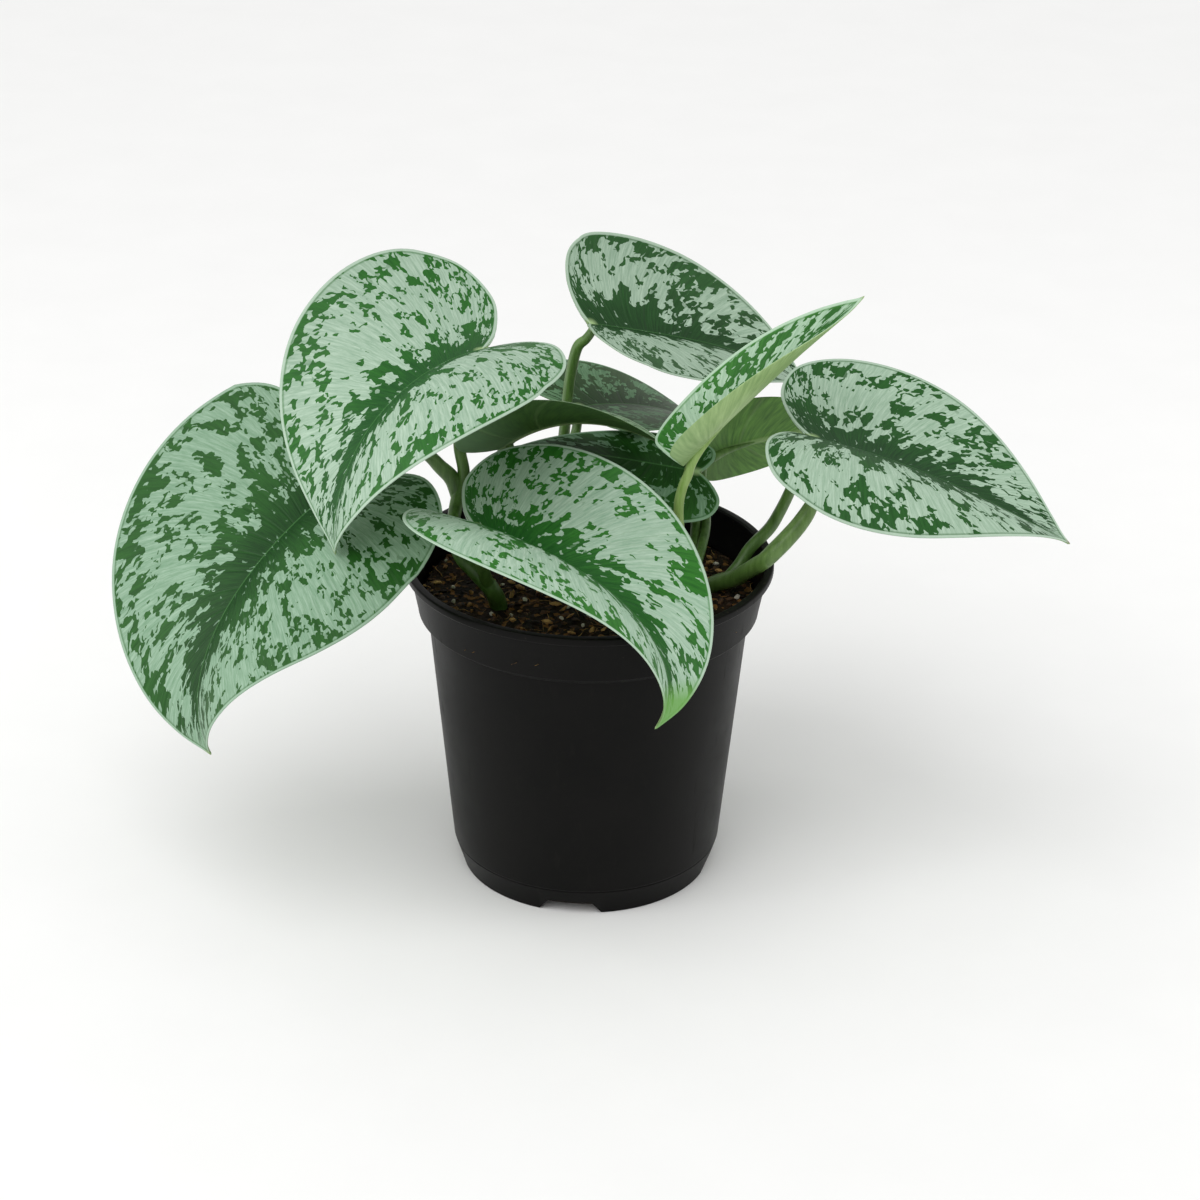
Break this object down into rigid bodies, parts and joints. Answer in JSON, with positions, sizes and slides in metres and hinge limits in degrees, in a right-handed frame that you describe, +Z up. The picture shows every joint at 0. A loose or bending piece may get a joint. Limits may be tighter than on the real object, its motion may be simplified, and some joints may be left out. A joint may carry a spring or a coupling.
{
  "type": "potted satin pothos",
  "caption": "young satin pothos house plant with heart-shaped silver-marked leaves on arching petioles, growing in a round black plastic nursery pot of potting mix",
  "frame": {"origin": "on the pot's axis, at the flat underside of the pot's floor, where the pot stands", "axes": "+Z up along the pot's axis; -Y to the front, where the viewer of the picture stands; +X to that viewer's right"},
  "size_m": [0.2698, 0.1602, 0.1796],
  "materials": {
    "pot_plastic": "matte black",
    "potting_mix": "crumbly bark and peat mix",
    "stem": "smooth green stem",
    "leaf": "satin silver-green leaf with dark green blotches"
  },
  "bodies": {
    "root": {"pot": "pot_plastic", "soil": "potting_mix", "vine_left": "stem", "vine_middle": "stem", "vine_young": "stem", "vine_right": "stem", "leaf_top_left": "leaf", "leaf_big_left": "leaf", "leaf_front": "leaf", "leaf_back_top": "leaf", "leaf_young_curled": "leaf", "leaf_right": "leaf", "leaf_centre_folded": "leaf", "leaf_back_shaded": "leaf", "leaf_low_inner": "leaf", "leaf_right_inner": "leaf"}
  },
  "joints": []
}
